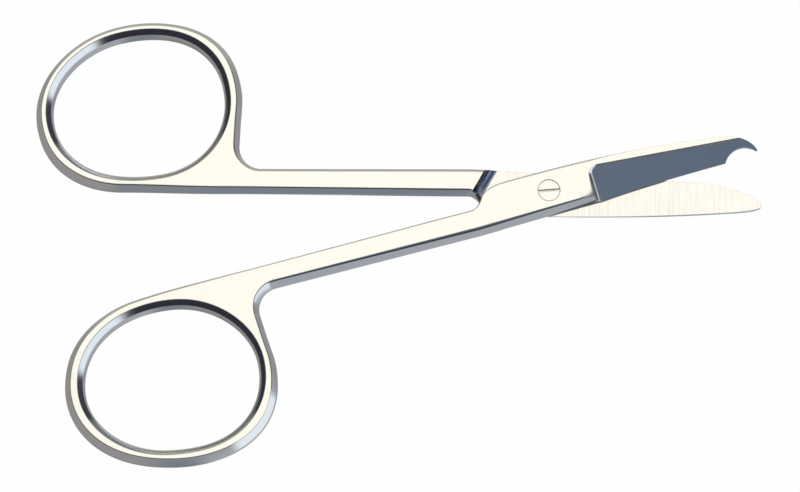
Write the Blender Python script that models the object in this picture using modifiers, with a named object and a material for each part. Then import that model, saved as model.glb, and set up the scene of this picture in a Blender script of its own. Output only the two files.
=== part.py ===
"""Suture scissors, 9 cm pattern: two forged halves, half-lapped on a slotted screw.

Each half is modelled in its own frame: the screw's axis is Z, the tip lies towards +X,
the finger ring towards -X, and +Y is the side that meets the other half on closing.
The middle of the thickness is z = 0. Sizes are in metres.
"""

from math import atan2, copysign, cos, pi, radians, sin, sqrt, tan

import bmesh
import bpy
from mathutils import Matrix, Vector
from mathutils.geometry import interpolate_bezier

# Whole instrument
THICKNESS = 0.0031
REST_SPREAD = radians(16.2)
CLOSED_SPREAD = radians(2.6)
LAP_GAP = 0.0001
SEAT_CLEARANCE = 0.00008
SEAT_RELIEF = 0.00015

# Finger ring: hole, rim, and how far the rounded walls swell past the flat crown
RING_REACH = 0.05058
RING_HOLE_LONG = 0.02121
RING_HOLE_WIDE = 0.01775
RING_HOLE_TURN = radians(11.8)
RING_HOLE_FULLNESS = 2.09
RING_HOLE_AHEAD = 0.00018
RING_HOLE_ASIDE = 0.00008
RING_TURN = radians(16.3)
RING_END_RIM = 0.00225
RING_SIDE_RIM = 0.00185
RING_FULLNESS = 2.18
RING_HOLE_SWELL = 0.0008
RING_RIM_SWELL = 0.00083

# Shank: a bar of even width, its inner edge passing close to the screw's axis
SHANK_WIDE = 0.00312
SHANK_TURN = radians(0.63)
SHANK_INNER_OFFSET = 0.00006
SHANK_INNER_SWELL = 0.00029
SHANK_OUTER_SWELL = 0.00082
WEB_INNER_SWELL = 0.00068
NECK_RING_TURN = radians(18.0)
NECK_FILLET = 0.0027
NECK_SWELL = 0.00078

# Joint: half-lapped, with a slanting shoulder and a jog that stop the closing
JOINT_SPINE = 0.0029
SHOULDER_REACH = 0.0079
SHOULDER_SLANT = radians(29.0)
SHOULDER_FILLET = 0.0012
JOG_LONG = 0.0052
JOG_SET_BACK = 0.0019
JOG_HEAD_PULL = 0.00416
JOG_SWELL = 0.00014
SPINE_SWELL = 0.00062

# Both blades: the ground facet on the outer face
HEEL_REACH = 0.0059
HEEL_SWELL = 0.00118
HEEL_SLOPE = 0.01
SPINE_SLOPE = 0.005
FACET_TILT = radians(16.8)
FACET_HEEL_RADIUS = 0.0005
EDGE_LAND = 0.00017
BLADE_TAPER = radians(1.7)
EDGE_SWELL = 0.00008
TIP_SWELL = 0.00016

# Hooked blade
HOOKED_LONG = 0.02635
HOOKED_HEEL_EDGE = 0.00275
HOOKED_EDGE_END = 0.00215
HOOKED_EDGE_END_SLOPE = 0.01
HOOKED_EDGE_HEEL_SLOPE = 0.09
HUMP_LONG = 0.00635
HUMP_SPINE = 0.00152
HUMP_SLOPE = -0.14
HUMP_SWELL = 0.0005
HUMP_PULL = 0.0022
NOSE_PULL_BACK = 0.0008
NOSE_PULL_RISE = 0.0024
HOOK_NOSE_DROP = 0.00135
HOOK_POINT_DROP = 0.00172
HOOK_POINT_WIDE = 0.00025
NOTCH_LONG = 0.0041
NOTCH_DEEP = 0.0017
NOTCH_DROP = 0.00225

# Plain blade
PLAIN_LONG = 0.02617
PLAIN_HEEL_EDGE = 0.0024
PLAIN_EDGE_HEEL_SLOPE = 0.07
PLAIN_EDGE_MID = 0.00174
PLAIN_EDGE_STRAIGHT = 0.0170
PLAIN_TIP_LONG = 0.0052
PLAIN_TIP_SPINE = 0.0022
PLAIN_TIP_RISE = 0.0012
PLAIN_TIP_SLOPE = -0.075
PLAIN_TIP_SWELL = 0.00037
PLAIN_BROW_PULL = 0.0021
PLAIN_NOSE_PULL = 0.00066
PLAIN_BELLY_PULL = 0.0011
PLAIN_EDGE_PULL = 0.0044

# Screw
SCREW_HEAD_RADIUS = 0.00133
SCREW_HEAD_DEEP = 0.0007
SCREW_SHANK_RADIUS = 0.00095
SCREW_CLEARANCE = 0.00005
SLOT_WIDE = 0.00042
SLOT_DEEP = 0.00035
SLOT_TURN = radians(-3.0)

# Fineness of the solids
SIDE_LEVELS = 4
SIDE_LEVEL_TURN = radians(52.0)
SHARP_ANGLE = radians(30.0)
RING_STEPS = 72
FILLET_STEPS = 6
CURVE_STEPS = 12
SCREW_STEPS = 48

HALF_THICKNESS = THICKNESS / 2
LAP_HEIGHT = LAP_GAP / 2
CUT_OVER = 2 * THICKNESS


def clear_scene():
    for obj in list(bpy.data.objects):
        bpy.data.objects.remove(obj, do_unlink=True)


def new_collection(name):
    collection = bpy.data.collections.new(name)
    bpy.context.scene.collection.children.link(collection)
    return collection


def steel(name, colour, roughness):
    material = bpy.data.materials.new(name)
    material.use_nodes = True
    shader = material.node_tree.nodes["Principled BSDF"]
    shader.inputs["Base Color"].default_value = (*colour, 1.0)
    shader.inputs["Metallic"].default_value = 1.0
    shader.inputs["Roughness"].default_value = roughness
    return material


# Outlines are lists of (point, swell): the point lies on the middle plane, where the
# walls are widest, and swell is how far the flat crown lies inside it.


def graded(points, swell_from, swell_to):
    last = max(len(points) - 1, 1)
    return [(point, swell_from + (swell_to - swell_from) * i / last) for i, point in enumerate(points)]


def line(start, end, steps):
    return [start.lerp(end, i / steps) for i in range(steps)]


def bend(start, start_handle, end_handle, end, steps):
    points = interpolate_bezier(start, start_handle, end_handle, end, steps + 1)
    return [point.to_2d() for point in points[:-1]]


def sweep(start, start_slope, end, end_slope, steps):
    """A curve along X that leaves start and meets end at the given slopes."""
    third = (end.x - start.x) / 3
    return bend(
        start,
        start + Vector((third, third * start_slope)),
        end - Vector((third, third * end_slope)),
        end,
        steps,
    )


def shank_inner_edge(x):
    return Vector((x, SHANK_INNER_OFFSET - x * tan(SHANK_TURN)))


def shank_outer_edge(x):
    return shank_inner_edge(x) - Vector((0, SHANK_WIDE / cos(SHANK_TURN)))


def signed_power(value, exponent):
    return copysign(abs(value) ** exponent, value)


class Oval:
    """A little fuller than an ellipse, whose fullness is 2. Its long axis turns off X."""

    def __init__(self, turn, long, wide, fullness):
        self.along = Vector((cos(turn), -sin(turn)))
        self.across = Vector((sin(turn), cos(turn)))
        self.long = long
        self.wide = wide
        self.fullness = fullness
        self.centre = Vector((0, 0))

    def point(self, angle):
        a = self.long * signed_power(cos(angle), 2 / self.fullness)
        b = self.wide * signed_power(sin(angle), 2 / self.fullness)
        return self.centre + self.along * a + self.across * b

    def tangent(self, angle):
        return (self.point(angle + 0.001) - self.point(angle - 0.001)).normalized()

    def farthest(self, normal):
        """The angle of the point that lies farthest towards normal."""
        power = self.fullness / (self.fullness - 1) / 2
        a = signed_power(self.long * normal.dot(self.along), power)
        b = signed_power(self.wide * normal.dot(self.across), power)
        return atan2(b, a)


class Ring(Oval):
    """The ring's outside, which touches the shank's inner edge."""

    def __init__(self):
        long = RING_HOLE_LONG / 2 + RING_END_RIM
        wide = RING_HOLE_WIDE / 2 + RING_SIDE_RIM
        super().__init__(RING_TURN, long, wide, RING_FULLNESS)
        shank_normal = Vector((sin(SHANK_TURN), cos(SHANK_TURN)))
        self.touch = self.farthest(shank_normal)
        reach = shank_normal.dot(self.point(self.touch)) / cos(SHANK_TURN)
        self.centre = shank_inner_edge(-RING_REACH) - Vector((0, reach))


def ring_hole():
    """The hole lies a little nearer the tip and the shank than the ring's outside does."""
    hole = Oval(RING_HOLE_TURN, RING_HOLE_LONG / 2, RING_HOLE_WIDE / 2, RING_HOLE_FULLNESS)
    hole.centre = Ring().centre + Vector((RING_HOLE_AHEAD, RING_HOLE_ASIDE))
    return [(hole.point(2 * pi * i / RING_STEPS), RING_HOLE_SWELL) for i in range(RING_STEPS)]


def ring_outline(ring):
    """From the neck round the far side to where the ring touches the shank's inner edge."""
    start = NECK_RING_TURN
    end = ring.touch - 2 * pi
    steps = RING_STEPS
    points = [ring.point(start + (end - start) * i / steps) for i in range(steps)]
    quarter = steps // 8
    return (
        graded(points[:quarter], NECK_SWELL, RING_RIM_SWELL)
        + graded(points[quarter:-quarter], RING_RIM_SWELL, RING_RIM_SWELL)
        + graded(points[-quarter:], RING_RIM_SWELL, WEB_INNER_SWELL)
    )


def neck_outline(ring):
    """A fillet off the shank's outer edge, then a straight flank that meets the ring."""
    end = ring.point(NECK_RING_TURN)
    flank = ring.tangent(NECK_RING_TURN)
    shank = Vector((-cos(SHANK_TURN), sin(SHANK_TURN)))
    corner = end + flank * shank.cross(shank_outer_edge(0) - end) / shank.cross(flank)
    opening = shank.angle(flank)
    back = NECK_FILLET / tan(opening / 2)
    pull = NECK_FILLET * tan((pi - opening) / 4) * 4 / 3
    start = corner - shank * back
    meet = corner - flank * back
    points = bend(start, start + shank * pull, meet + flank * pull, meet, CURVE_STEPS)
    return graded(points + line(meet, end, FILLET_STEPS), NECK_SWELL, NECK_SWELL)


def jog_outline(foot, head):
    """The step from the shank's inner edge out to the blade's spine."""
    low = foot + Vector((JOG_SET_BACK, SHANK_INNER_SWELL))
    high = head - Vector((JOG_HEAD_PULL, JOG_SWELL))
    points = bend(foot, low, high, head, CURVE_STEPS)
    half = CURVE_STEPS // 2
    return graded(points[:half], SHANK_INNER_SWELL, JOG_SWELL) + graded(
        points[half:], JOG_SWELL, SPINE_SWELL
    )


def hooked_blade(head):
    """Spine, hump and hook, then back along the cutting edge to the heel."""
    hump = Vector((HOOKED_LONG - HUMP_LONG, HUMP_SPINE))
    nose = Vector((HOOKED_LONG, -HOOK_NOSE_DROP))
    point = Vector((HOOKED_LONG - HOOK_POINT_WIDE / 2, -HOOK_POINT_DROP))
    corner = Vector((HOOKED_LONG - HOOK_POINT_WIDE - NOTCH_LONG, -HOOKED_EDGE_END))
    heel = Vector((HEEL_REACH, -HOOKED_HEEL_EDGE))
    spine = sweep(head, SPINE_SLOPE, hump, HUMP_SLOPE, CURVE_STEPS)
    crest = hump + Vector((1, HUMP_SLOPE)) * HUMP_PULL
    brow = nose + Vector((-NOSE_PULL_BACK, NOSE_PULL_RISE))
    edge = sweep(corner, HOOKED_EDGE_END_SLOPE, heel, HOOKED_EDGE_HEEL_SLOPE, CURVE_STEPS)
    return (
        graded(spine, SPINE_SWELL, HUMP_SWELL)
        + graded(bend(hump, crest, brow, nose, CURVE_STEPS), HUMP_SWELL, TIP_SWELL)
        + graded(line(nose, point, 2), TIP_SWELL, EDGE_SWELL)
        + graded(line(point, corner, 2), EDGE_SWELL, EDGE_SWELL)
        + graded(edge, EDGE_SWELL, EDGE_SWELL)
        + [(heel, EDGE_SWELL)]
    )


def plain_blade(head):
    """Spine, blunt tip, then back along the curved cutting edge to the heel."""
    tip_start = Vector((PLAIN_LONG - PLAIN_TIP_LONG, PLAIN_TIP_SPINE))
    tip = Vector((PLAIN_LONG, PLAIN_TIP_RISE))
    edge = Vector((PLAIN_EDGE_STRAIGHT, -PLAIN_EDGE_MID))
    heel = Vector((HEEL_REACH, -PLAIN_HEEL_EDGE))
    spine = sweep(head, SPINE_SLOPE, tip_start, PLAIN_TIP_SLOPE, CURVE_STEPS)
    brow = tip_start + Vector((1, PLAIN_TIP_SLOPE)) * PLAIN_BROW_PULL
    nose = bend(tip_start, brow, tip + Vector((0, PLAIN_NOSE_PULL)), tip, CURVE_STEPS)
    belly = tip - Vector((0, PLAIN_BELLY_PULL))
    underside = bend(tip, belly, edge + Vector((PLAIN_EDGE_PULL, 0)), edge, CURVE_STEPS)
    return (
        graded(spine, SPINE_SWELL, PLAIN_TIP_SWELL)
        + graded(nose, PLAIN_TIP_SWELL, TIP_SWELL)
        + graded(underside, TIP_SWELL, EDGE_SWELL)
        + graded(sweep(edge, 0, heel, PLAIN_EDGE_HEEL_SLOPE, CURVE_STEPS), EDGE_SWELL, EDGE_SWELL)
        + [(heel, EDGE_SWELL)]
    )


def half_outline(blade):
    ring = Ring()
    start = ring.point(ring.touch)
    foot = shank_inner_edge(-SHOULDER_REACH - JOG_SET_BACK)
    head = Vector((foot.x + JOG_LONG, JOINT_SPINE))
    joint_end = shank_outer_edge(-SHOULDER_REACH - JOG_SET_BACK)
    neck_points = neck_outline(ring)
    neck_start = neck_points[0][0]
    blade_points = blade(head)
    heel = blade_points[-1][0]
    past_heel = heel - Vector((FACET_HEEL_RADIUS, 0))
    heel_side = sweep(past_heel, 0, joint_end, HEEL_SLOPE, CURVE_STEPS)
    return (
        graded(line(start, foot, CURVE_STEPS), WEB_INNER_SWELL, SHANK_INNER_SWELL)
        + jog_outline(foot, head)
        + blade_points
        + graded(heel_side, HEEL_SWELL, SHANK_OUTER_SWELL)
        + graded(line(joint_end, neck_start, CURVE_STEPS), SHANK_OUTER_SWELL, NECK_SWELL)
        + neck_points
        + ring_outline(ring)
    )


def inward_normals(points):
    """Unit normals of a closed outline, turned to its left."""
    normals = []
    for i, point in enumerate(points):
        step = points[(i + 1) % len(points)] - points[i - 1]
        normals.append(Vector((-step.y, step.x)).normalized())
    return normals


def wall_loops(bm, outline, inward):
    """Loops of vertices from the lower crown to the upper one, on circular arcs."""
    points = [point for point, _ in outline]
    normals = inward_normals(points)
    loops = []
    for level in range(-SIDE_LEVELS, SIDE_LEVELS + 1):
        z = HALF_THICKNESS * sin(SIDE_LEVEL_TURN * level / SIDE_LEVELS) / sin(SIDE_LEVEL_TURN)
        loop = []
        for (point, swell), normal in zip(outline, normals):
            radius = (HALF_THICKNESS**2 + swell**2) / (2 * swell)
            inset = radius - sqrt(radius**2 - z**2)
            place = point + normal * inset * inward
            loop.append(bm.verts.new((place.x, place.y, z)))
        loops.append(loop)
    return loops


def loft(bm, loops):
    for lower, upper in zip(loops, loops[1:]):
        count = len(lower)
        for i in range(count):
            j = (i + 1) % count
            bm.faces.new((lower[i], lower[j], upper[j], upper[i]))


def closing_edges(bm, loop):
    return [bm.edges.get((loop[i], loop[(i + 1) % len(loop)])) for i in range(len(loop))]


def forged_blank(name, blade):
    """The forging before it is machined: crowned faces, swelling walls and an open ring."""
    bm = bmesh.new()
    outer = wall_loops(bm, half_outline(blade), -1)
    hole = wall_loops(bm, ring_hole(), -1)
    loft(bm, outer)
    loft(bm, hole)
    for level in (0, -1):
        edges = closing_edges(bm, outer[level]) + closing_edges(bm, hole[level])
        bmesh.ops.triangle_fill(bm, use_beauty=True, edges=edges)
    bmesh.ops.recalc_face_normals(bm, faces=bm.faces)
    mesh = bpy.data.meshes.new(name)
    bm.to_mesh(mesh)
    bm.free()
    mesh.shade_smooth()
    mesh.set_sharp_from_angle(angle=SHARP_ANGLE)
    return bpy.data.objects.new(name, mesh)


def prism(name, profile, start, end, place):
    """A profile in the XY plane, drawn out along Z from start to end, then put in its place."""
    bm = bmesh.new()
    face = bm.faces.new([bm.verts.new((x, y, start)) for x, y in profile])
    drawn = bmesh.ops.extrude_face_region(bm, geom=[face])
    moved = [item for item in drawn["geom"] if isinstance(item, bmesh.types.BMVert)]
    bmesh.ops.translate(bm, verts=moved, vec=(0, 0, end - start))
    bmesh.ops.transform(bm, matrix=place, verts=bm.verts)
    bmesh.ops.recalc_face_normals(bm, faces=bm.faces)
    mesh = bpy.data.meshes.new(name)
    bm.to_mesh(mesh)
    bm.free()
    return bpy.data.objects.new(name, mesh)


def cylinder(name, radius, low, high):
    bm = bmesh.new()
    bmesh.ops.create_cone(
        bm,
        cap_ends=True,
        segments=SCREW_STEPS,
        radius1=radius,
        radius2=radius,
        depth=high - low,
        matrix=Matrix.Translation((0, 0, (high + low) / 2)),
    )
    mesh = bpy.data.meshes.new(name)
    bm.to_mesh(mesh)
    bm.free()
    return bpy.data.objects.new(name, mesh)


def cut(half, cutter, cutters):
    """Subtracts cutter, whose mesh lies in the half's own frame."""
    cutters.objects.link(cutter)
    cutter.parent = half
    cutter.hide_render = True
    cutter.display_type = "WIRE"
    modifier = half.modifiers.new(cutter.name, "BOOLEAN")
    modifier.operation = "DIFFERENCE"
    modifier.object = cutter


def arc_points(centre_x, centre_y, radius, start, end):
    """Points of an arc in the XY plane, both ends included."""
    points = []
    for i in range(FILLET_STEPS + 1):
        turn = start + (end - start) * i / FILLET_STEPS
        points.append((centre_x + radius * cos(turn), centre_y + radius * sin(turn)))
    return points


def along_shoulder():
    """X is the distance off the foot of the shoulder, Y is up, and Z runs along it, by -Y's measure."""
    across = Vector((1 / cos(SHOULDER_SLANT), 0, 0))
    along = Vector((tan(SHOULDER_SLANT), -1, 0))
    lean = Matrix((across, (0, 0, 1), along)).transposed().to_4x4()
    return Matrix.Translation((-SHOULDER_REACH, 0, 0)) @ lean


def lap_cutter(name):
    """Takes the lower half of the thickness off the joint and blade, up to the shoulder."""
    radius = SHOULDER_FILLET
    profile = [(2 * HOOKED_LONG, -CUT_OVER), (2 * HOOKED_LONG, LAP_HEIGHT)]
    profile += arc_points(0, LAP_HEIGHT - radius, radius, pi / 2, pi)
    profile += [(-radius, -CUT_OVER)]
    return prism(name, profile, -HOOKED_LONG, HOOKED_LONG, along_shoulder())


def seat_cutter(name):
    """Rounds the jog's lower edge to seat in the other half's shoulder, as it lies when closed."""
    radius = SHOULDER_FILLET - SEAT_CLEARANCE
    profile = [(-JOG_LONG, CUT_OVER), (0, CUT_OVER)]
    profile += arc_points(0, LAP_HEIGHT - SHOULDER_FILLET, radius, pi / 2, pi)
    profile += [(-radius, -CUT_OVER), (-JOG_LONG, -CUT_OVER)]
    closed = Matrix.Rotation(-CLOSED_SPREAD, 4, "Z") @ Matrix.Rotation(pi, 4, "X")
    inner = shank_inner_edge(-SHOULDER_REACH).y
    return prism(name, profile, -inner - SEAT_RELIEF, 2 * JOINT_SPINE, closed @ along_shoulder())


def machine_joint(half, prefix, cutters):
    cut(half, lap_cutter(prefix + "_lap"), cutters)
    cut(half, seat_cutter(prefix + "_seat"), cutters)


def grind_blade(half, prefix, heel_edge, tip_x, tip_edge, cutters):
    """Tapers the blade's back towards the tip and grinds the facet down to the cutting edge."""
    size = 2 * HOOKED_LONG
    upright = Matrix.Rotation(pi / 2, 4, "X")
    block = [(0, 0), (size, 0), (size, size), (0, size)]
    place = Matrix.Translation((HEEL_REACH, 0, HALF_THICKNESS)) @ Matrix.Rotation(BLADE_TAPER, 4, "Y")
    cut(half, prism(prefix + "_taper", block, -size, size, place @ upright), cutters)

    radius = FACET_HEEL_RADIUS
    wheel = arc_points(radius, radius, radius, pi, 1.5 * pi) + [(size, 0), (size, size), (0, size)]
    place = Matrix.Translation((HEEL_REACH - radius, -heel_edge, LAP_HEIGHT + EDGE_LAND))
    place = place @ Matrix.Rotation(atan2(heel_edge - tip_edge, tip_x - HEEL_REACH), 4, "Z")
    place = place @ Matrix.Rotation(FACET_TILT, 4, "X")
    cut(half, prism(prefix + "_facet", wheel, -size, size, place @ upright), cutters)


def notch_cutter(name):
    centre_x = HOOKED_LONG - HOOK_POINT_WIDE - NOTCH_LONG / 2
    profile = []
    for i in range(RING_STEPS // 2):
        turn = 4 * pi * i / RING_STEPS
        profile.append((centre_x + NOTCH_LONG / 2 * cos(turn), -NOTCH_DROP + NOTCH_DEEP * sin(turn)))
    return prism(name, profile, -CUT_OVER, CUT_OVER, Matrix())


def hooked_half(parts, cutters):
    half = forged_blank("hooked_half", hooked_blade)
    half.location.z = HALF_THICKNESS
    half.rotation_euler.z = REST_SPREAD / 2
    parts.objects.link(half)
    half.data.materials.append(steel("hooked_half_steel", (0.62, 0.61, 0.58), 0.16))
    machine_joint(half, "hooked", cutters)
    notch_start = HOOKED_LONG - HOOK_POINT_WIDE - NOTCH_LONG
    grind_blade(half, "hooked", HOOKED_HEEL_EDGE, notch_start, HOOKED_EDGE_END, cutters)
    cut(half, notch_cutter("hooked_notch"), cutters)
    shank_hole = SCREW_SHANK_RADIUS + SCREW_CLEARANCE
    head_hole = SCREW_HEAD_RADIUS + SCREW_CLEARANCE
    head_floor = HALF_THICKNESS - SCREW_HEAD_DEEP - SCREW_CLEARANCE
    cut(half, cylinder("hooked_bore", shank_hole, -CUT_OVER, CUT_OVER), cutters)
    cut(half, cylinder("hooked_counterbore", head_hole, head_floor, CUT_OVER), cutters)
    return half


def plain_half(parts, cutters):
    half = forged_blank("plain_half", plain_blade)
    half.location.z = HALF_THICKNESS
    half.rotation_euler = (pi, 0, -REST_SPREAD / 2)
    parts.objects.link(half)
    half.data.materials.append(steel("plain_half_steel", (0.62, 0.61, 0.58), 0.18))
    machine_joint(half, "plain", cutters)
    grind_blade(half, "plain", PLAIN_HEEL_EDGE, PLAIN_EDGE_STRAIGHT, PLAIN_EDGE_MID, cutters)
    shank_hole = SCREW_SHANK_RADIUS + SCREW_CLEARANCE
    cut(half, cylinder("plain_bore", shank_hole, -CUT_OVER, CUT_OVER), cutters)
    return half


def pivot_screw(parts, cutters):
    """Slotted screw, its head flush with the hooked half and its end with the plain one."""
    neck = THICKNESS - SCREW_HEAD_DEEP
    profile = [
        (0, THICKNESS),
        (SCREW_HEAD_RADIUS, THICKNESS),
        (SCREW_HEAD_RADIUS, neck),
        (SCREW_SHANK_RADIUS, neck),
        (SCREW_SHANK_RADIUS, 0),
        (0, 0),
    ]
    mesh = bpy.data.meshes.new("pivot_screw")
    edges = [(i, i + 1) for i in range(len(profile) - 1)]
    mesh.from_pydata([(r, 0, z) for r, z in profile], edges, [])
    screw = bpy.data.objects.new("pivot_screw", mesh)
    parts.objects.link(screw)
    screw.data.materials.append(steel("pivot_screw_steel", (0.6, 0.58, 0.55), 0.2))
    turned = screw.modifiers.new("turned", "SCREW")
    turned.steps = SCREW_STEPS
    turned.render_steps = SCREW_STEPS
    turned.use_merge_vertices = True
    turned.merge_threshold = 0.00001
    turned.use_smooth_shade = True
    width = SLOT_WIDE / 2
    reach = 2 * SCREW_HEAD_RADIUS
    slot_profile = [(-reach, -width), (reach, -width), (reach, width), (-reach, width)]
    turn = Matrix.Rotation(SLOT_TURN, 4, "Z")
    slot = prism("screw_slot", slot_profile, THICKNESS - SLOT_DEEP, THICKNESS + SLOT_DEEP, turn)
    cut(screw, slot, cutters)
    return screw


def main():
    clear_scene()
    parts = new_collection("suture_scissors")
    cutters = new_collection("cutters")
    hooked_half(parts, cutters)
    plain_half(parts, cutters)
    pivot_screw(parts, cutters)


main()
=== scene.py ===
from math import atan2, copysign, cos, pi, radians, sin, tan

import bmesh
import bpy
from mathutils import Matrix, Vector
from mathutils.geometry import interpolate_bezier


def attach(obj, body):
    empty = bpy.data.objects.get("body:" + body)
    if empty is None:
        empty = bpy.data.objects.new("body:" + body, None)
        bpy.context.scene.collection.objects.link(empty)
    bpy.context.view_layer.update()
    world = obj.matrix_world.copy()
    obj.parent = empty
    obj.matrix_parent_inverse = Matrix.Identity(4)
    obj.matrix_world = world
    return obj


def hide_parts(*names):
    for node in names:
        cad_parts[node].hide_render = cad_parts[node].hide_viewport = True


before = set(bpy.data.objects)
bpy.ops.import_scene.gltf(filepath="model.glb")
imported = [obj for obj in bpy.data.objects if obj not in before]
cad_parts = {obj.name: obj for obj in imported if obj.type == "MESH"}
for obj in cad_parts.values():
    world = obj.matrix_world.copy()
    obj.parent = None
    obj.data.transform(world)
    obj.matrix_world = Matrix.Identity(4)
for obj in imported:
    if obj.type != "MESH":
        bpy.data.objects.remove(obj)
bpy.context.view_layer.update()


# The camera looks down on the scissors through a long lens, leaning 15 degrees towards
# the near ring. Their centre line climbs a little to the right in the picture.
PICTURE_TURN = radians(7.36)
CAMERA_LEAN = radians(15.0)
CAMERA_DISTANCE = 0.3914
CAMERA_TARGET = Vector((-0.01894, -0.00426, 0.00155))
CAMERA_LENS = 144
CAMERA_SENSOR = 36
NEAREST_SEEN = 0.01

picture_right = Vector((cos(PICTURE_TURN), -sin(PICTURE_TURN), 0))
picture_ahead = Vector((sin(PICTURE_TURN), cos(PICTURE_TURN), 0))
camera_up = picture_ahead * cos(CAMERA_LEAN) + Vector((0, 0, sin(CAMERA_LEAN)))
camera_back = Vector((0, 0, cos(CAMERA_LEAN))) - picture_ahead * sin(CAMERA_LEAN)
camera_data = bpy.data.cameras.new("camera")
camera_data.lens = CAMERA_LENS
camera_data.sensor_width = CAMERA_SENSOR
camera_data.clip_start = NEAREST_SEEN
camera = bpy.data.objects.new("camera", camera_data)
camera_facing = Matrix((picture_right, camera_up, camera_back)).transposed().to_4x4()
camera_place = Matrix.Translation(CAMERA_TARGET + camera_back * CAMERA_DISTANCE)
camera.matrix_world = camera_place @ camera_facing
bpy.context.scene.collection.objects.link(camera)
bpy.context.scene.camera = camera
bpy.context.scene.view_settings.view_transform = "Standard"


# The light is a studio's, and polished steel shows all of it: white sheets overhead and
# on the far side, a cool window at the near right, a dark flag at the near left, and a
# grey room below. Directions are in degrees: 0 is the picture's right, 90 its far side.
class Signal:
    """A shader socket that Python's operators work on, each one adding a Math node."""

    def __init__(self, shading, socket):
        self.shading = shading
        self.socket = socket

    def math(self, operation, first, second=0.0):
        return self.shading.node("ShaderNodeMath", {"operation": operation}, {0: first, 1: second})

    def output(self, name):
        return Signal(self.shading, self.socket.node.outputs[name])

    def __add__(self, other):
        return self.math("ADD", self, other)

    def __radd__(self, other):
        return self.math("ADD", other, self)

    def __sub__(self, other):
        return self.math("SUBTRACT", self, other)

    def __rsub__(self, other):
        return self.math("SUBTRACT", other, self)

    def __mul__(self, other):
        return self.math("MULTIPLY", self, other)

    def __rmul__(self, other):
        return self.math("MULTIPLY", other, self)


class Shading:
    """The nodes of one material or world."""

    def __init__(self, owner):
        owner.use_nodes = True
        self.tree = owner.node_tree
        self.tree.nodes.clear()

    def node(self, kind, settings=None, sockets=None, output=0):
        made = self.tree.nodes.new(kind)
        for name, value in (settings or {}).items():
            setattr(made, name, value)
        for name, value in (sockets or {}).items():
            if isinstance(value, Signal):
                self.tree.links.new(value.socket, made.inputs[name])
            else:
                made.inputs[name].default_value = value
        return Signal(self, made.outputs[output]) if made.outputs else made

    def step(self, value, low, high):
        """0 below low and 1 above high, with a smooth rise between."""
        sockets = {"Value": value, "From Min": low, "From Max": high}
        return self.node("ShaderNodeMapRange", {"interpolation_type": "SMOOTHSTEP"}, sockets)

    def blend(self, share, first, second):
        """The first colour where share is 0 and the second where it is 1."""
        sockets = {0: share, 6: first, 7: second}
        return self.node("ShaderNodeMix", {"data_type": "RGBA"}, sockets, 2)


BACKGROUND_WHITE = (1, 1, 1, 1)
ROOM_GREY = (0.21, 0.205, 0.22, 1)
WHITE_IN_STEEL = 0.03
SHEETS = (
    # Below: the near side, its left, the strip that the far shank's near wall looks at,
    # the right, the far side and the far left.
    ((-82, 15), (-120, -10), 24, (0.30, 0.33, 0.41, 1)),
    ((-200, -84), (-120, -44), 24, (0.12, 0.14, 0.17, 1)),
    ((-99, -80), (-120, -10), 16, (0.08, 0.12, 0.19, 1)),
    ((6, 46), (-120, -35), 18, (0.20, 0.20, 0.27, 1)),
    ((46, 130), (-120, 30), 24, (0.32, 0.33, 0.30, 1)),
    ((130, 200), (-120, 30), 24, (0.20, 0.195, 0.19, 1)),
    # White: the far side, and overhead.
    ((54, 132), (26, 120), 20, (0.80, 0.80, 0.76, 1)),
    ((30, 132), (60, 120), 18, (1.17, 1.15, 1.08, 1)),
    # Slate blue, high on the near side, where the facet looks.
    ((-108, 26), (53, 82), 10, (0.08, 0.125, 0.205, 1)),
    # Dark flags: the near left, the far left, the far right and the right.
    ((-200, -60), (3, 52), 14, (0, 0, 0.015, 1)),
    ((140, 200), (0, 32), 10, (0, 0, 0.015, 1)),
    ((46, 84), (-6, 24), 10, (0.16, 0.17, 0.21, 1)),
    ((8, 50), (-12, 26), 8, (0.02, 0.015, 0.035, 1)),
    # The window.
    ((-57, 5), (-30, 42), 10, (0.84, 0.92, 1.07, 1)),
)

world = bpy.data.worlds.new("studio")
bpy.context.scene.world = world
sky = Shading(world)
direction = sky.node("ShaderNodeTexCoord").output("Generated")
turned = {"rotation_type": "Z_AXIS"}
direction = sky.node("ShaderNodeVectorRotate", turned, {"Vector": direction, "Angle": PICTURE_TURN})
split = sky.node("ShaderNodeSeparateXYZ", None, {"Vector": direction})
aside, ahead, height = split.output("X"), split.output("Y"), split.output("Z")
azimuth = ahead.math("ARCTAN2", ahead, aside) * (180 / pi)
elevation = height.math("ARCSINE", height) * (180 / pi)


def hang(behind, azimuths, elevations, soft, colour):
    """Hangs a soft-edged sheet of the colour over part of what is behind it."""
    share = 1
    for angle, (low, high) in ((azimuth, azimuths), (elevation, elevations)):
        share = share * sky.step(angle, low - soft / 2, low + soft / 2)
        share = share * (1 - sky.step(angle, high - soft / 2, high + soft / 2))
    return sky.blend(share, behind, colour)


studio = ROOM_GREY
for sheet in SHEETS:
    studio = hang(studio, *sheet)
paths = sky.node("ShaderNodeLightPath")
seen_plainly = paths.output("Is Camera Ray") + paths.output("Is Transmission Ray")
seen_plainly = seen_plainly + paths.output("Is Glossy Ray") * WHITE_IN_STEEL
studio = sky.blend(seen_plainly, studio, BACKGROUND_WHITE)
background = sky.node("ShaderNodeBackground", None, {"Color": studio, "Strength": 1.0})
sky.node("ShaderNodeOutputWorld", None, {"Surface": background})


# The scissors lie on a sheet of white board, wide enough to fill the picture. Seen in
# the steel, most of it gives way to the studio's lower half.
BOARD_HALF = 1.5
BOARD_DROP = 0.00002
BOARD_COLOUR = (0.90, 0.91, 0.92, 1)
BOARD_GLOW = 1.025
BOARD_GLOW_SHARE = 0.96
BOARD_CLEAR_SHARE = 0.90

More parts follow.
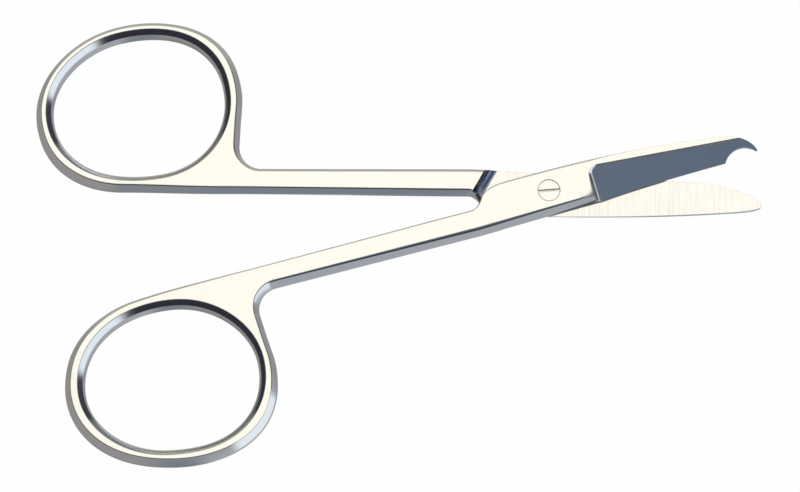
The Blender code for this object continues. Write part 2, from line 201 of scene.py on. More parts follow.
bm = bmesh.new()
bmesh.ops.create_grid(bm, x_segments=1, y_segments=1, size=BOARD_HALF)
bmesh.ops.translate(bm, verts=bm.verts, vec=(0, 0, -BOARD_DROP))
board_mesh = bpy.data.meshes.new("board")
bm.to_mesh(board_mesh)
bm.free()
board_material = bpy.data.materials.new("white_board")
paper = Shading(board_material)
diffuse = paper.node("ShaderNodeBsdfDiffuse", None, {"Color": BOARD_COLOUR})
glow = paper.node("ShaderNodeEmission", None, {"Color": BACKGROUND_WHITE, "Strength": BOARD_GLOW})
clear = paper.node("ShaderNodeBsdfTransparent")
paths = paper.node("ShaderNodeLightPath")
seen_in_steel = paths.output("Is Glossy Ray")
seen_plainly = paths.output("Is Camera Ray") + paths.output("Is Transmission Ray") + seen_in_steel
glowing = {0: seen_plainly * BOARD_GLOW_SHARE, 1: diffuse, 2: glow}
surface = paper.node("ShaderNodeMixShader", None, glowing)
clearing = {0: seen_in_steel * BOARD_CLEAR_SHARE, 1: surface, 2: clear}
surface = paper.node("ShaderNodeMixShader", None, clearing)
paper.node("ShaderNodeOutputMaterial", None, {"Surface": surface})
board_mesh.materials.append(board_material)
board = bpy.data.objects.new("board", board_mesh)
bpy.context.scene.collection.objects.link(board)


# Both halves are stainless steel forgings of one pattern: a finger ring, a straight shank and
# a joint, with flat faces, walls that swell at mid-thickness, and softened edges. A half is
# drawn face up about the screw, its blade towards +X, and is cut to shape after that.
THICKNESS = 0.0031
REST_SPREAD = radians(16.2)
CLOSED_SPREAD = radians(2.6)
RING_REACH = 0.05058
RING_HOLE_LONG = 0.02121
RING_HOLE_WIDE = 0.01775
RING_HOLE_TURN = radians(11.8)
RING_HOLE_FULLNESS = 2.09
RING_HOLE_AHEAD = 0.00018
RING_HOLE_ASIDE = 0.00008
RING_TURN = radians(16.3)
RING_END_RIM = 0.00225
RING_SIDE_RIM = 0.00185
RING_FULLNESS = 2.18
RING_HOLE_SWELL = 0.0009
BEVEL_ARCS = ((0, 20, 0.0028), (20, 46, 0.00022), (46, 53, 0.006), (53, 90, 0.00018))
RING_RIM_WALL = Vector((0.00083, 0.00012))
RING_DRESSED_REACH = 0.018
RING_DRESSED_FADE = 0.004
SHANK_WIDE = 0.00312
SHANK_TURN = radians(0.63)
SHANK_INNER_OFFSET = 0.00006
SHANK_INNER_WALL = Vector((0.00029, 0.00025))
SHANK_OUTER_WALL = Vector((0.00082, 0.0005))
WEB_INNER_WALL = Vector((0.00068, 0.0002))
NECK_RING_TURN = radians(18.0)
NECK_FILLET = 0.0027
NECK_WALL = Vector((0.00078, 0.0003))
JOINT_SPINE = 0.0029
SHOULDER_REACH = 0.0079
SHOULDER_SLANT = radians(29.0)
SHOULDER_SKIN = 0.00001
SHOULDER_FILLET = 0.0012
JOG_LONG = 0.0052
JOG_SET_BACK = 0.0019
JOG_HEAD_PULL = 0.00416
JOG_WALL = Vector((0.00014, 0.0001))
SPINE_WALL = Vector((0.00062, 0.0003))
HEEL_REACH = 0.0059
HEEL_WALL = Vector((0.00083, 0.0002))
HEEL_SLOPE = 0.01
SPINE_SLOPE = 0.005
EDGE_WALL = Vector((0.00008, 0.00005))
TIP_WALL = Vector((0.00016, 0.0001))
FACET_TILT = radians(15.7)
FACET_BEFORE_HEEL = 0.0007
FACET_CORNER_RADIUS = 0.0015
FACET_TOP_MARGIN = 0.00015
FACET_WHEEL_EDGE = 0.0009
EDGE_LAND = 0.00017
BLADE_TAPER = radians(1.7)
BLADE_LONG = 0.02635
LAP_HEIGHT = 0.00005
SEAT_CLEARANCE = 0.00008
SEAT_RELIEF = 0.00015
WAIST_ROUND = 0.001
CROWN_MARGIN = 0.00003
CROWN_MOST = 0.8
LEAN_MOST = radians(60.0)
LEAN_ERROR = 0.0001
OFF_ZERO = 0.0001
TANGENT_TURN = 0.001
SHARP_TURN = radians(28.0)
WAIST_STEPS = 5
CROWN_STEPS = 5
RING_STEPS = 176
CURVE_STEPS = 36
BEVEL_STEPS = 4
WHEEL_STEPS = 9
RING_BLEND_PART = 8
FILLET_STEPS = 14
BORE_STEPS = 96
HALF_THICKNESS = THICKNESS / 2
CUT_OVER = 2 * THICKNESS


def graded(points, wall_from, wall_to):
    """Pairs each point with its wall: how far the wall swells, and how round its edges are."""
    last = max(len(points) - 1, 1)
    return [(point, wall_from.lerp(wall_to, i / last)) for i, point in enumerate(points)]


def line(start, end, steps):
    return [start.lerp(end, i / steps) for i in range(steps)]


def bend(start, start_handle, end_handle, end, steps):
    points = interpolate_bezier(start, start_handle, end_handle, end, steps + 1)
    return [point.to_2d() for point in points[:-1]]


def sweep(start, start_slope, end, end_slope, steps):
    """A curve along X that leaves start and meets end at the given slopes."""
    third = (end.x - start.x) / 3
    leaving = start + Vector((third, third * start_slope))
    meeting = end - Vector((third, third * end_slope))
    return bend(start, leaving, meeting, end, steps)


def shank_inner_edge(x):
    return Vector((x, SHANK_INNER_OFFSET - x * tan(SHANK_TURN)))


def shank_outer_edge(x):
    return shank_inner_edge(x) - Vector((0, SHANK_WIDE / cos(SHANK_TURN)))


def signed_power(value, exponent):
    return copysign(abs(value) ** exponent, value)


class Oval:
    """A little fuller than an ellipse, whose fullness is 2. Its long axis turns off X."""

    def __init__(self, turn, long, wide, fullness):
        self.along = Vector((cos(turn), -sin(turn)))
        self.across = Vector((sin(turn), cos(turn)))
        self.long = long
        self.wide = wide
        self.fullness = fullness
        self.centre = Vector((0, 0))

    def point(self, angle):
        a = self.long * signed_power(cos(angle), 2 / self.fullness)
        b = self.wide * signed_power(sin(angle), 2 / self.fullness)
        return self.centre + self.along * a + self.across * b

    def tangent(self, angle):
        step = self.point(angle + TANGENT_TURN) - self.point(angle - TANGENT_TURN)
        return step.normalized()

    def farthest(self, normal):
        """The angle of the point that lies farthest towards normal."""
        power = self.fullness / (self.fullness - 1) / 2
        a = signed_power(self.long * normal.dot(self.along), power)
        b = signed_power(self.wide * normal.dot(self.across), power)
        return atan2(b, a)


ring = Oval(
    RING_TURN,
    RING_HOLE_LONG / 2 + RING_END_RIM,
    RING_HOLE_WIDE / 2 + RING_SIDE_RIM,
    RING_FULLNESS,
)
shank_normal = Vector((sin(SHANK_TURN), cos(SHANK_TURN)))
ring_touch = ring.farthest(shank_normal)
touch_reach = shank_normal.dot(ring.point(ring_touch)) / cos(SHANK_TURN)
ring.centre = shank_inner_edge(-RING_REACH) - Vector((0, touch_reach))


hole = Oval(RING_HOLE_TURN, RING_HOLE_LONG / 2, RING_HOLE_WIDE / 2, RING_HOLE_FULLNESS)
hole.centre = ring.centre + Vector((RING_HOLE_AHEAD, RING_HOLE_ASIDE))
hole_outline = [(hole.point(2 * pi * i / RING_STEPS), RING_HOLE_SWELL) for i in range(RING_STEPS)]


def ring_outline():
    """From the neck round the far side to where the ring touches the shank's inner edge."""
    end = ring_touch - 2 * pi
    turns = [NECK_RING_TURN + (end - NECK_RING_TURN) * i / RING_STEPS for i in range(RING_STEPS)]
    points = [ring.point(turn) for turn in turns]
    part = RING_STEPS // RING_BLEND_PART
    return (
        graded(points[:part], NECK_WALL, RING_RIM_WALL)
        + graded(points[part:-part], RING_RIM_WALL, RING_RIM_WALL)
        + graded(points[-part:], RING_RIM_WALL, WEB_INNER_WALL)
    )


def neck_outline():
    """A fillet off the shank's outer edge, then a straight flank that meets the ring."""
    end = ring.point(NECK_RING_TURN)
    flank = ring.tangent(NECK_RING_TURN)
    shank = Vector((-cos(SHANK_TURN), sin(SHANK_TURN)))
    corner = end + flank * shank.cross(shank_outer_edge(0) - end) / shank.cross(flank)
    opening = shank.angle(flank)
    back = NECK_FILLET / tan(opening / 2)
    pull = NECK_FILLET * tan((pi - opening) / 4) * 4 / 3
    start = corner - shank * back
    meet = corner - flank * back
    points = bend(start, start + shank * pull, meet + flank * pull, meet, CURVE_STEPS)
    return graded(points + line(meet, end, FILLET_STEPS), NECK_WALL, NECK_WALL)


def jog_outline(foot, head):
    """The step from the shank's inner edge out to the blade's spine."""
    low = foot + Vector((JOG_SET_BACK, SHANK_INNER_WALL.x))
    high = head - Vector((JOG_HEAD_PULL, JOG_WALL.x))
    points = bend(foot, low, high, head, CURVE_STEPS)
    half = CURVE_STEPS // 2
    rising = graded(points[:half], SHANK_INNER_WALL, JOG_WALL)
    return rising + graded(points[half:], JOG_WALL, SPINE_WALL)


def half_outline(blade):
    """Clockwise from the ring: inner edge, jog, blade, heel, outer edge, neck, ring."""
    start = ring.point(ring_touch)
    foot = shank_inner_edge(-SHOULDER_REACH - JOG_SET_BACK)
    head = Vector((foot.x + JOG_LONG, JOINT_SPINE))
    joint_end = shank_outer_edge(-SHOULDER_REACH - JOG_SET_BACK)
    neck_points = neck_outline()
    neck_start = neck_points[0][0]
    blade_points = blade(head)
    past_heel = blade_points[-1][0] - Vector((FACET_BEFORE_HEEL, 0))
    heel_side = sweep(past_heel, 0, joint_end, HEEL_SLOPE, CURVE_STEPS)
    return (
        graded(line(start, foot, CURVE_STEPS), WEB_INNER_WALL, SHANK_INNER_WALL)
        + jog_outline(foot, head)
        + blade_points
        + graded(heel_side, HEEL_WALL, SHANK_OUTER_WALL)
        + graded(line(joint_end, neck_start, CURVE_STEPS), SHANK_OUTER_WALL, NECK_WALL)
        + neck_points
        + ring_outline()
    )


def wall_section(wall):
    """How far in and how high each row of a wall lies: a round waist, a straight lean, a crown."""
    swell = wall.x
    crown = min(wall.y, CROWN_MOST * swell)
    low, high = 0, LEAN_MOST
    while high - low > LEAN_ERROR:
        lean = (low + high) / 2
        run = (HALF_THICKNESS - crown - (WAIST_ROUND - crown) * sin(lean)) / cos(lean)
        inset = WAIST_ROUND * (1 - cos(lean)) + run * sin(lean) + crown * cos(lean)
        if inset < swell:
            low = lean
        else:
            high = lean
    rows = []
    for i in range(1, WAIST_STEPS + 1):
        turn = lean * i / WAIST_STEPS
        rows.append((WAIST_ROUND * (1 - cos(turn)), WAIST_ROUND * sin(turn)))
    for i in range(CROWN_STEPS + 1):
        turn = lean + (pi / 2 - lean) * i / CROWN_STEPS
        rows.append((swell - crown * cos(turn), HALF_THICKNESS - crown + crown * sin(turn)))
    return rows + [(swell + CROWN_MARGIN, HALF_THICKNESS)]


def bevelled_section(swell):
    """The same for a ring's hole, where a broad bevel leads down to a blunt nose."""
    rows = []
    inset = rise = 0
    for low, high, radius in BEVEL_ARCS:
        for i in range(1, BEVEL_STEPS + 1):
            turn = radians(low + (high - low) * i / BEVEL_STEPS)
            along = radius * (cos(radians(low)) - cos(turn))
            up = radius * (sin(turn) - sin(radians(low)))
            rows.append((inset + along, rise + up))
        inset, rise = rows[-1]
    rows = [(row[0] * swell / inset, row[1] * HALF_THICKNESS / rise) for row in rows]
    return rows + [(swell + CROWN_MARGIN, HALF_THICKNESS)]


def dressed(outline, centre, offsets):
    """Moves the points of a ring out by offsets that are given for equal turns about its centre."""
    count = len(offsets)
    moved = []
    for point, wall in outline:
        arm = point - centre
        out = 0
        for i, offset in enumerate(offsets):
            turn = atan2(arm.y, arm.x) - 2 * pi * i / count + OFF_ZERO
            out += offset * sin(count * turn / 2) / (count * tan(turn / 2))
        out *= min(max((RING_DRESSED_REACH - arm.length) / RING_DRESSED_FADE, 0), 1)
        moved.append((point + arm.normalized() * out, wall))
    return moved


def swelling_wall(bm, outline, section):
    """Draws an outline down and up into walls, and returns the last row of edges of each."""
    number = bm.verts.layers.int["number"]
    loop = []
    inward = []
    for i, (point, _) in enumerate(outline):
        vert = bm.verts.new((point.x, point.y, 0))
        vert[number] = i
        loop.append(vert)
        along = outline[(i + 1) % len(outline)][0] - outline[i - 1][0]
        inward.append(Vector((along.y, -along.x)).normalized())
    sections = [section(wall) for _, wall in outline]
    widest = [bm.edges.new(pair) for pair in zip(loop, loop[1:] + loop[:1])]
    rims = []
    for side in (-1, 1):
        row = widest
        for level in range(len(sections[0])):
            drawn = bmesh.ops.extrude_edge_only(bm, edges=row)["geom"]
            fresh = {item for item in drawn if isinstance(item, bmesh.types.BMVert)}
            for vert in fresh:
                inset, rise = sections[vert[number]][level]
                point = outline[vert[number]][0] + inward[vert[number]] * inset
                vert.co = (point.x, point.y, side * rise)
            row = [
                item
                for item in drawn
                if isinstance(item, bmesh.types.BMEdge) and fresh.issuperset(item.verts)
            ]
        rims.append(row)
    return rims


def mesh_object(name, bm, materials):
    mesh = bpy.data.meshes.new(name)
    bm.to_mesh(mesh)
    bm.free()
    for material in materials:
        mesh.materials.append(material)
    made = bpy.data.objects.new(name, mesh)
    bpy.context.scene.collection.objects.link(made)
    return made


def forged_blank(name, blade, rim_offsets, hole_offsets, material):
    bm = bmesh.new()
    bm.verts.layers.int.new("number")
    outer = swelling_wall(bm, dressed(half_outline(blade), ring.centre, rim_offsets), wall_section)
    inner = swelling_wall(bm, dressed(hole_outline, hole.centre, hole_offsets), bevelled_section)
    for outer_rim, hole_rim in zip(outer, inner):
        bmesh.ops.triangle_fill(bm, use_beauty=True, edges=outer_rim + hole_rim)
    bmesh.ops.recalc_face_normals(bm, faces=bm.faces)
    for face in bm.faces:
        face.smooth = True
    return mesh_object(name, bm, [material])


def arc_points(centre_x, centre_y, radius, start, end):
    """Points of an arc in the XY plane, both ends included."""
    turns = [start + (end - start) * i / FILLET_STEPS for i in range(FILLET_STEPS + 1)]
    return [(centre_x + radius * cos(turn), centre_y + radius * sin(turn)) for turn in turns]


def prism(name, profile, start, end, place, material):
    """A cutter: a profile in the XY plane, drawn out along Z, then put in its place."""
    bm = bmesh.new()
    face = bm.faces.new([bm.verts.new((x, y, start)) for x, y in profile])
    drawn = bmesh.ops.extrude_face_region(bm, geom=[face])
    moved = [item for item in drawn["geom"] if isinstance(item, bmesh.types.BMVert)]
    bmesh.ops.translate(bm, verts=moved, vec=(0, 0, end - start))
    bmesh.ops.transform(bm, matrix=place, verts=bm.verts)
    bmesh.ops.recalc_face_normals(bm, faces=bm.faces)
    for face in bm.faces:
        face.smooth = True
    return mesh_object(name, bm, [material])


def drill(name, radius, low, high, material):
    """A cutter for a round hole."""
    bm = bmesh.new()
    middle = Matrix.Translation((0, 0, (high + low) / 2))
    bmesh.ops.create_cone(
        bm,
        cap_ends=True,
        segments=BORE_STEPS,
        radius1=radius,
        radius2=radius,
        depth=high - low,
        matrix=middle,
    )
    for face in bm.faces:
        face.smooth = True
    return mesh_object(name, bm, [material])


def along_shoulder():
    """A frame in which X leads off the shoulder's foot, Y is up, and Z runs along it, towards -Y."""
    across = Vector((1 / cos(SHOULDER_SLANT), 0, 0))
    along = Vector((tan(SHOULDER_SLANT), -1, 0))
    lean = Matrix((across, (0, 0, 1), along)).transposed().to_4x4()
    return Matrix.Translation((-SHOULDER_REACH, 0, 0)) @ lean


def joint_cutters(ground, painted_shade):
    """The lap that takes off half the thickness, its shoulder, and the seat rounded into the jog. The
    shoulder's cut faces take the navy steel of painted shade.
    """
    lap = [(2 * BLADE_LONG, -CUT_OVER), (2 * BLADE_LONG, LAP_HEIGHT)]
    lap += arc_points(0, LAP_HEIGHT - SHOULDER_FILLET, SHOULDER_FILLET, pi / 2, pi)
    lap += [(-SHOULDER_FILLET, -CUT_OVER)]
    radius = SHOULDER_FILLET - SEAT_CLEARANCE
    seat = [(-JOG_LONG, CUT_OVER), (0, CUT_OVER)]
    seat += arc_points(0, LAP_HEIGHT - SHOULDER_FILLET, radius, pi / 2, pi)
    seat += [(-radius, -CUT_OVER), (-JOG_LONG, -CUT_OVER)]
    step = arc_points(0, LAP_HEIGHT - SHOULDER_FILLET, SHOULDER_FILLET + SHOULDER_SKIN, pi / 2, pi)
    step += [(-SHOULDER_FILLET - SHOULDER_SKIN, -CUT_OVER), (0, -CUT_OVER)]
    closed = Matrix.Rotation(-CLOSED_SPREAD, 4, "Z") @ Matrix.Rotation(pi, 4, "X")
    seat_start = -shank_inner_edge(-SHOULDER_REACH).y - SEAT_RELIEF
    return [
        prism("lap_cutter", lap, -BLADE_LONG, BLADE_LONG, along_shoulder(), ground),
        prism("shoulder_cutter", step, -BLADE_LONG, BLADE_LONG, along_shoulder(), painted_shade),
        prism("seat_cutter", seat, seat_start, 2 * JOINT_SPINE, closed @ along_shoulder(), ground),
    ]


def blade_cutters(heel_edge, tip_x, tip_edge, polished, ground):
    """The taper on the blade's back, and the wheel that grinds the facet to the cutting edge."""
    size = 2 * BLADE_LONG
    upright = Matrix.Rotation(pi / 2, 4, "X")
    block = [(0, 0), (size, 0), (size, size), (0, size)]
    place = Matrix.Translation((HEEL_REACH, 0, HALF_THICKNESS)) @ Matrix.Rotation(BLADE_TAPER, 4, "Y")
    taper = prism("taper_cutter", block, -size, size, place @ upright, polished)
    high = (HALF_THICKNESS - LAP_HEIGHT - EDGE_LAND) / sin(FACET_TILT) + FACET_TOP_MARGIN
    fall = size * tan(BLADE_TAPER) / sin(FACET_TILT)
    corner = FACET_CORNER_RADIUS
    wheel = arc_points(corner, high - corner, corner, pi / 2, pi)
    wheel += [(0, -size), (size, -size), (size, high - fall)]
    place = Matrix.Translation((HEEL_REACH - FACET_BEFORE_HEEL, -heel_edge, LAP_HEIGHT + EDGE_LAND))
    place = place @ Matrix.Rotation(atan2(heel_edge - tip_edge, tip_x - HEEL_REACH), 4, "Z")
    place = place @ Matrix.Rotation(FACET_TILT, 4, "X")
    facet = prism("facet_cutter", wheel, 0, size, place, ground)
    rounding = facet.modifiers.new("wheel_edge", "BEVEL")
    rounding.width = FACET_WHEEL_EDGE
    rounding.segments = WHEEL_STEPS
    rounding.use_clamp_overlap = False
    return [taper, facet]


def machined(blank, cutters, name, place):
    """The blank with every cutter taken off it, as one mesh in the scissors' own frame."""
    for cutter in cutters:
        modifier = blank.modifiers.new(cutter.name, "BOOLEAN")
        modifier.operation = "DIFFERENCE"
        modifier.material_mode = "TRANSFER"
        modifier.object = cutter
    bpy.context.view_layer.update()
    evaluated = blank.evaluated_get(bpy.context.evaluated_depsgraph_get())
    mesh = bpy.data.meshes.new_from_object(evaluated)
    mesh.name = name
    mesh.transform(place)
    mesh.set_sharp_from_angle(angle=SHARP_TURN)
    made = bpy.data.objects.new(name, mesh)
    bpy.context.scene.collection.objects.link(made)
    for used in [blank, *cutters]:
        bpy.data.objects.remove(used, do_unlink=True)
    flats = made.modifiers.new("even_flats", "WEIGHTED_NORMAL")
    flats.keep_sharp = True
    return made


CLOUD_SCALE = 220.0
EDGE_SOFTNESS = 0.00005
LINE_HEIGHT = 0.00001
LINE_SHADES = (0.42, 0.68)
ROUGH_BY_LINES = 0.08
ROUGH_BY_CLOUDS = 0.10


def steel_finish(name, turn, colours, rough, line_scale, line_depth):
    """Steel with working lines that follow the piece's turn and shade it between two colours."""
    material = bpy.data.materials.new(name)
    steel = Shading(material)
    place = steel.node("ShaderNodeTexCoord").output("Object")
    turned = {"rotation_type": "Z_AXIS"}
    place = steel.node("ShaderNodeVectorRotate", turned, {"Vector": place, "Angle": -turn})
    lines = steel.node("ShaderNodeVectorMath", {"operation": "MULTIPLY"}, {0: place, 1: line_scale})
    streaks = steel.node("ShaderNodeTexNoise", None, {"Vector": lines, "Scale": 1.0, "Detail": 3.0})
    patches = {"Vector": place, "Scale": CLOUD_SCALE, "Detail": 2.0}
    clouds = steel.node("ShaderNodeTexNoise", None, patches)
    softened = steel.node("ShaderNodeBevel", {"samples": 4}, {"Radius": EDGE_SOFTNESS})
    scored = {"Strength": line_depth, "Distance": LINE_HEIGHT, "Height": streaks, "Normal": softened}
    bumped = steel.node("ShaderNodeBump", None, scored)
    roughness = rough + (streaks - 0.5) * ROUGH_BY_LINES + (clouds - 0.5) * ROUGH_BY_CLOUDS
    colour = steel.blend(steel.step(streaks, *LINE_SHADES), *colours)
    surface = {"Base Color": colour, "Metallic": 1.0, "Roughness": roughness, "Normal": bumped}
    shader = steel.node("ShaderNodeBsdfPrincipled", None, surface)
    steel.node("ShaderNodeOutputMaterial", None, {"Surface": shader})
    return material


# A finish is its two colours, its roughness, and the scale and depth of its working lines.
LENGTHWAYS = (300, 9000, 9000)
CROSSWAYS = (3600, 150, 150)
STEEL_COLOURS = ((0.88, 0.875, 0.82, 1), (0.87, 0.862, 0.806, 1))
GROUND_COLOURS = ((0.92, 0.908, 0.855, 1), (0.89, 0.86, 0.815, 1))
# The shoulder's navy colours are painted shade: they stand in for the dark reflection in the concave
# shoulder, not for the steel's own colour.
SHOULDER_PAINTED_SHADE_COLOURS = ((0.24, 0.28, 0.40, 1), (0.20, 0.24, 0.36, 1))
POLISHED = (STEEL_COLOURS, 0.13, LENGTHWAYS, 0.05)
SHOULDER_PAINTED_SHADE = (SHOULDER_PAINTED_SHADE_COLOURS, 0.25, LENGTHWAYS, 0.05)


# The plain half lies underneath. It carries the far ring and the blade with the blunt
# tip, whose flat inner face shows past the other blade, ground across its length.
PLAIN_LONG = 0.02617
PLAIN_HEEL_EDGE = 0.0024
PLAIN_EDGE_HEEL_SLOPE = 0.07
PLAIN_EDGE_MID = 0.00174
PLAIN_EDGE_STRAIGHT = 0.0170
PLAIN_TIP_LONG = 0.0052
PLAIN_TIP_SPINE = 0.0022
PLAIN_TIP_RISE = 0.0012
PLAIN_TIP_SLOPE = -0.075
PLAIN_TIP_WALL = Vector((0.00037, 0.0002))
PLAIN_BROW_PULL = 0.0021
PLAIN_NOSE_PULL = 0.00066
PLAIN_BELLY_PULL = 0.0011
PLAIN_EDGE_PULL = 0.0044
SCREW_HOLE_RADIUS = 0.001
PLAIN_GROUND = (GROUND_COLOURS, 0.20, CROSSWAYS, 0.10)
PLAIN_RIM_DRESSING = (-14e-5, 0, 0, -12e-5, -8e-5, 7e-5, -10e-5, -22e-5, 4e-5, -4e-5, -7e-5, 4e-5)
PLAIN_HOLE_DRESSING = (-24e-5, 11e-5, 28e-5, 1e-5, 6e-5, 24e-5, 21e-5, -4e-5, 1e-5, 1e-5, 13e-5, -8e-5)


def plain_blade(head):
    """Spine, blunt tip, then back along the curved cutting edge to the heel."""
    tip_start = Vector((PLAIN_LONG - PLAIN_TIP_LONG, PLAIN_TIP_SPINE))
    tip = Vector((PLAIN_LONG, PLAIN_TIP_RISE))
    edge = Vector((PLAIN_EDGE_STRAIGHT, -PLAIN_EDGE_MID))
    heel = Vector((HEEL_REACH, -PLAIN_HEEL_EDGE))
    spine = sweep(head, SPINE_SLOPE, tip_start, PLAIN_TIP_SLOPE, CURVE_STEPS)
    brow = tip_start + Vector((1, PLAIN_TIP_SLOPE)) * PLAIN_BROW_PULL
    nose = bend(tip_start, brow, tip + Vector((0, PLAIN_NOSE_PULL)), tip, CURVE_STEPS)
    belly = tip - Vector((0, PLAIN_BELLY_PULL))
    underside = bend(tip, belly, edge + Vector((PLAIN_EDGE_PULL, 0)), edge, CURVE_STEPS)
    cutting_edge = sweep(edge, 0, heel, PLAIN_EDGE_HEEL_SLOPE, CURVE_STEPS)
    return (
        graded(spine, SPINE_WALL, PLAIN_TIP_WALL)
        + graded(nose, PLAIN_TIP_WALL, TIP_WALL)
        + graded(underside, TIP_WALL, EDGE_WALL)
        + graded(cutting_edge, EDGE_WALL, EDGE_WALL)
        + [(heel, EDGE_WALL)]
    )


plain_turn = -REST_SPREAD / 2
plain_polished = steel_finish("plain_half_polished", plain_turn, *POLISHED)
plain_ground = steel_finish("plain_half_ground", plain_turn, *PLAIN_GROUND)
# The shoulder material is navy painted shade; the cutter hands it to the shoulder's faces.
plain_painted_shade = steel_finish("plain_half_shoulder_painted_shade", plain_turn, *SHOULDER_PAINTED_SHADE)
plain_cutters = joint_cutters(plain_ground, plain_painted_shade)
plain_cutters += blade_cutters(
    PLAIN_HEEL_EDGE, PLAIN_EDGE_STRAIGHT, PLAIN_EDGE_MID, plain_polished, plain_ground
)
plain_cutters.append(drill("plain_drill", SCREW_HOLE_RADIUS, -CUT_OVER, CUT_OVER, plain_ground))
plain_place = (
    Matrix.Translation((0, 0, HALF_THICKNESS))
    @ Matrix.Rotation(plain_turn, 4, "Z")
    @ Matrix.Rotation(pi, 4, "X")
)
plain_blank = forged_blank(
    "plain_blank", plain_blade, PLAIN_RIM_DRESSING, PLAIN_HOLE_DRESSING, plain_polished
)
plain_half = machined(plain_blank, plain_cutters, "plain_half_steel", plain_place)
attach(plain_half, "plain_half")
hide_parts("plain_half")


# The hooked half lies on top. Its blade has a ground facet down to the cutting edge, and
# a crescent notch behind a small hook that slips under a stitch.
HOOKED_LONG = 0.02632
HOOKED_HEEL_EDGE = 0.00275
HOOKED_EDGE_END = 0.00215
HOOKED_EDGE_END_SLOPE = 0.01
HOOKED_EDGE_HEEL_SLOPE = 0.09
HUMP_LONG = 0.00635
HUMP_SPINE = 0.00152
HUMP_SLOPE = -0.14
HUMP_WALL = Vector((0.0005, 0.00035))
HUMP_PULL = 0.0022
NOSE_PULL_BACK = 0.0008
NOSE_PULL_RISE = 0.0024
HOOK_NOSE_DROP = 0.0015
HOOK_POINT_DROP = 0.00172
HOOK_POINT_WIDE = 0.00016
RELIEF_START = Vector((0.0025, -0.00228, 0))
RELIEF_END = Vector((0.00505, -0.00138, 0))
RELIEF_TILT = radians(12.5)
RELIEF_OVER = 1.2
NOTCH_LONG = 0.0041
NOTCH_RADIUS = 0.00254
NOTCH_AHEAD = 0.00224
NOTCH_DROP = 0.00336
HEAD_HOLE_RADIUS = 0.00138
HEAD_HOLE_DEEP = 0.00075
HOOKED_GROUND = (STEEL_COLOURS, 0.20, CROSSWAYS, 0.08)
HOOKED_RIM_DRESSING = (-4e-5, 0, 0, -14e-5, -50e-5, -29e-5, 0, 5e-5, -3e-5, -8e-5, 5e-5, 22e-5)
HOOKED_HOLE_DRESSING = (
    (-7e-5, -9e-5, -2e-5, -23e-5, -38e-5, -28e-5) + (-3e-5, -10e-5, -13e-5, -17e-5, 5e-5, 2e-5)
)


def hooked_blade(head):
    """Spine, hump and hook, then back along the cutting edge to the heel."""
    hump = Vector((HOOKED_LONG - HUMP_LONG, HUMP_SPINE))
    nose = Vector((HOOKED_LONG, -HOOK_NOSE_DROP))
    point = Vector((HOOKED_LONG - HOOK_POINT_WIDE / 2, -HOOK_POINT_DROP))
    corner = Vector((HOOKED_LONG - HOOK_POINT_WIDE - NOTCH_LONG, -HOOKED_EDGE_END))
    heel = Vector((HEEL_REACH, -HOOKED_HEEL_EDGE))
    spine = sweep(head, SPINE_SLOPE, hump, HUMP_SLOPE, CURVE_STEPS)
    crest = hump + Vector((1, HUMP_SLOPE)) * HUMP_PULL
    brow = nose + Vector((-NOSE_PULL_BACK, NOSE_PULL_RISE))
    edge = sweep(corner, HOOKED_EDGE_END_SLOPE, heel, HOOKED_EDGE_HEEL_SLOPE, CURVE_STEPS)
    return (
        graded(spine, SPINE_WALL, HUMP_WALL)
        + graded(bend(hump, crest, brow, nose, CURVE_STEPS), HUMP_WALL, TIP_WALL)
        + graded(line(nose, point, 2), TIP_WALL, EDGE_WALL)
        + graded(line(point, corner, 2), EDGE_WALL, EDGE_WALL)
        + graded(edge, EDGE_WALL, EDGE_WALL)
        + [(heel, EDGE_WALL)]
    )


def notch_cutter(start, material):
    """The wheel that grinds the crescent, which leaves the hook between it and the nose."""
    profile = []
    for i in range(BORE_STEPS):
        turn = 2 * pi * i / BORE_STEPS
        x = start + NOTCH_AHEAD + NOTCH_RADIUS * cos(turn)
        profile.append((x, -NOTCH_DROP + NOTCH_RADIUS * sin(turn)))
    return prism("notch_cutter", profile, -CUT_OVER, CUT_OVER, Matrix(), material)


def heel_relief(material):
    """The shallow flat that leads from the joint's near wall down to the facet's heel."""
    run = RELIEF_END - RELIEF_START
    size = run.length * RELIEF_OVER
    place = Matrix.Translation(RELIEF_START + Vector((0, 0, HALF_THICKNESS)))
    place = place @ Matrix.Rotation(atan2(run.y, run.x), 4, "Z") @ Matrix.Rotation(RELIEF_TILT, 4, "X")
    profile = [(-size, 0), (-size, -2 * size), (size, -2 * size), (size, 0)]
    return prism("relief_cutter", profile, 0, size, place, material)


hooked_turn = REST_SPREAD / 2
hooked_polished = steel_finish("hooked_half_polished", hooked_turn, *POLISHED)
hooked_ground = steel_finish("hooked_half_ground", hooked_turn, *HOOKED_GROUND)
# The shoulder material is navy painted shade; the cutter hands it to the shoulder's faces.
hooked_painted_shade = steel_finish("hooked_half_shoulder_painted_shade", hooked_turn, *SHOULDER_PAINTED_SHADE)
notch_start = HOOKED_LONG - HOOK_POINT_WIDE - NOTCH_LONG
hooked_cutters = joint_cutters(hooked_ground, hooked_painted_shade)
hooked_cutters += blade_cutters(
    HOOKED_HEEL_EDGE, notch_start, HOOKED_EDGE_END, hooked_polished, hooked_ground
)
hooked_cutters.append(heel_relief(hooked_ground))
hooked_cutters.append(notch_cutter(notch_start, hooked_ground))
hooked_cutters.append(drill("hooked_drill", SCREW_HOLE_RADIUS, -CUT_OVER, CUT_OVER, hooked_ground))
hooked_cutters.append(
    drill("head_drill", HEAD_HOLE_RADIUS, HALF_THICKNESS - HEAD_HOLE_DEEP, CUT_OVER, hooked_ground)
)
hooked_place = Matrix.Translation((0, 0, HALF_THICKNESS)) @ Matrix.Rotation(hooked_turn, 4, "Z")
hooked_blank = forged_blank(
    "hooked_blank", hooked_blade, HOOKED_RIM_DRESSING, HOOKED_HOLE_DRESSING, hooked_polished
)
hooked_half = machined(hooked_blank, hooked_cutters, "hooked_half_steel", hooked_place)
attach(hooked_half, "hooked_half")
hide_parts("hooked_half")


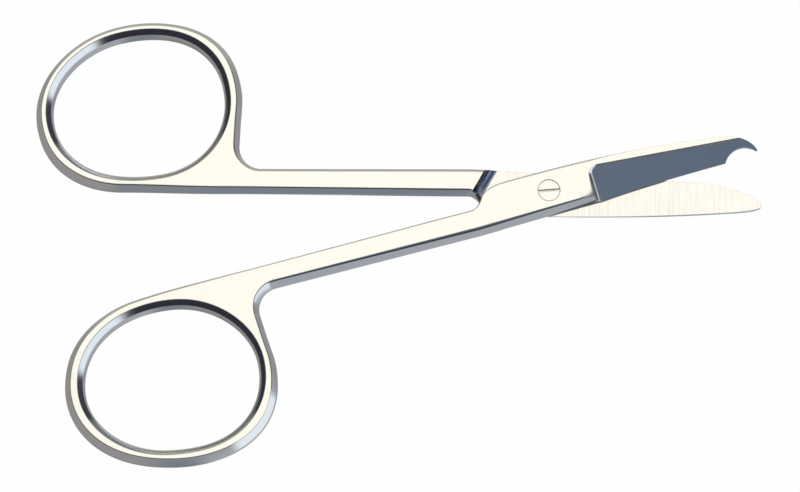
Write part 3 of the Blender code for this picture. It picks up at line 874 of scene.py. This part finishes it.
# The pivot screw is turned from the same steel and driven into the plain half. Its slotted
# head lies flush in the hooked half, slightly domed, and its shank ends level underneath.
SCREW_HEAD_RADIUS = 0.00137
SCREW_HEAD_DEEP = 0.0007
SCREW_SHANK_RADIUS = 0.00095
SCREW_DOME = 0.00005
DOME_MIDDLE = 0.5
SCREW_EDGE = 0.00007
SLOT_WIDE = 0.0003
SLOT_DEEP = 0.00022
SLOT_TURN = radians(-3.0)
MERGE_DISTANCE = 0.000001
SLOT_COLOURS = ((0.86, 0.80, 0.70, 1), (0.80, 0.75, 0.67, 1))
ALL_WAYS = (4000, 4000, 4000)
SCREW_TURNED = (STEEL_COLOURS, 0.15, ALL_WAYS, 0.05)
SCREW_SLOT = (SLOT_COLOURS, 0.35, ALL_WAYS, 0.05)

bm = bmesh.new()
profile = [
    (0, THICKNESS),
    (SCREW_HEAD_RADIUS * DOME_MIDDLE, THICKNESS - SCREW_DOME * DOME_MIDDLE**2),
    (SCREW_HEAD_RADIUS - SCREW_EDGE, THICKNESS - SCREW_DOME),
    (SCREW_HEAD_RADIUS, THICKNESS - SCREW_DOME - SCREW_EDGE),
    (SCREW_HEAD_RADIUS, THICKNESS - SCREW_HEAD_DEEP),
    (SCREW_SHANK_RADIUS, THICKNESS - SCREW_HEAD_DEEP),
    (SCREW_SHANK_RADIUS, 0),
    (0, 0),
]
verts = [bm.verts.new((x, 0, z)) for x, z in profile]
edges = [bm.edges.new(pair) for pair in zip(verts, verts[1:])]
bmesh.ops.spin(
    bm,
    geom=verts + edges,
    axis=(0, 0, 1),
    cent=(0, 0, 0),
    angle=2 * pi,
    steps=BORE_STEPS,
    use_merge=True,
)
bmesh.ops.remove_doubles(bm, verts=bm.verts, dist=MERGE_DISTANCE)
bmesh.ops.recalc_face_normals(bm, faces=bm.faces)
for face in bm.faces:
    face.smooth = True
screw_steel = steel_finish("screw_turned", 0, *SCREW_TURNED)
slot_steel = steel_finish("screw_slot", 0, *SCREW_SLOT)
reach = 2 * SCREW_HEAD_RADIUS
side = SLOT_WIDE / 2
slot_profile = [(-reach, -side), (reach, -side), (reach, side), (-reach, side)]
slot_place = Matrix.Translation((0, 0, THICKNESS)) @ Matrix.Rotation(SLOT_TURN, 4, "Z")
slot_cutter = prism("slot_cutter", slot_profile, -SLOT_DEEP, SLOT_DEEP, slot_place, slot_steel)
screw_blank = mesh_object("screw_blank", bm, [screw_steel])
screw = machined(screw_blank, [slot_cutter], "screw_steel", Matrix())
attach(screw, "plain_half")
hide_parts("pivot_screw")
